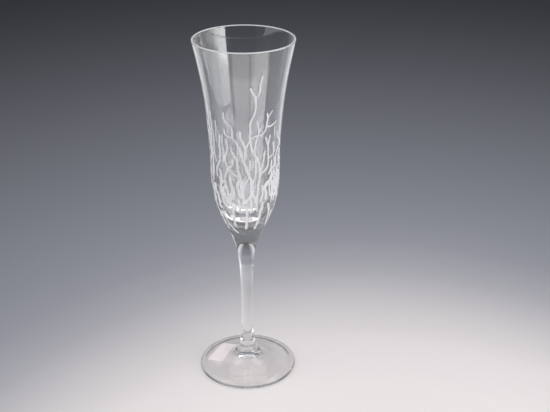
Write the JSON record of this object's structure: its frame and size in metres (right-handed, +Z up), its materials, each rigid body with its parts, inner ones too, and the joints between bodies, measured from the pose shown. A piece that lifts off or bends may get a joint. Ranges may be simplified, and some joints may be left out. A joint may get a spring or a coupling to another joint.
{
  "type": "champagne flute",
  "caption": "Tall champagne flute: trumpet bowl with a branching frosted engraving and a solid base, slim drawn stem, round foot with a plain paper label.",
  "frame": {"origin": "on the table, under the centre of the foot", "axes": "+Z up along the stem, -Y the front of the engraving"},
  "size_m": [0.0678, 0.0678, 0.24],
  "materials": {
    "clear_crystal": "polished clear crystal",
    "etched_frost": "blasted white frost of the engraving",
    "label_paper": "matte uncoated paper"
  },
  "bodies": {
    "root": {"bowl": "clear_crystal", "stem": "clear_crystal", "foot": "clear_crystal", "label": "label_paper"}
  },
  "joints": []
}
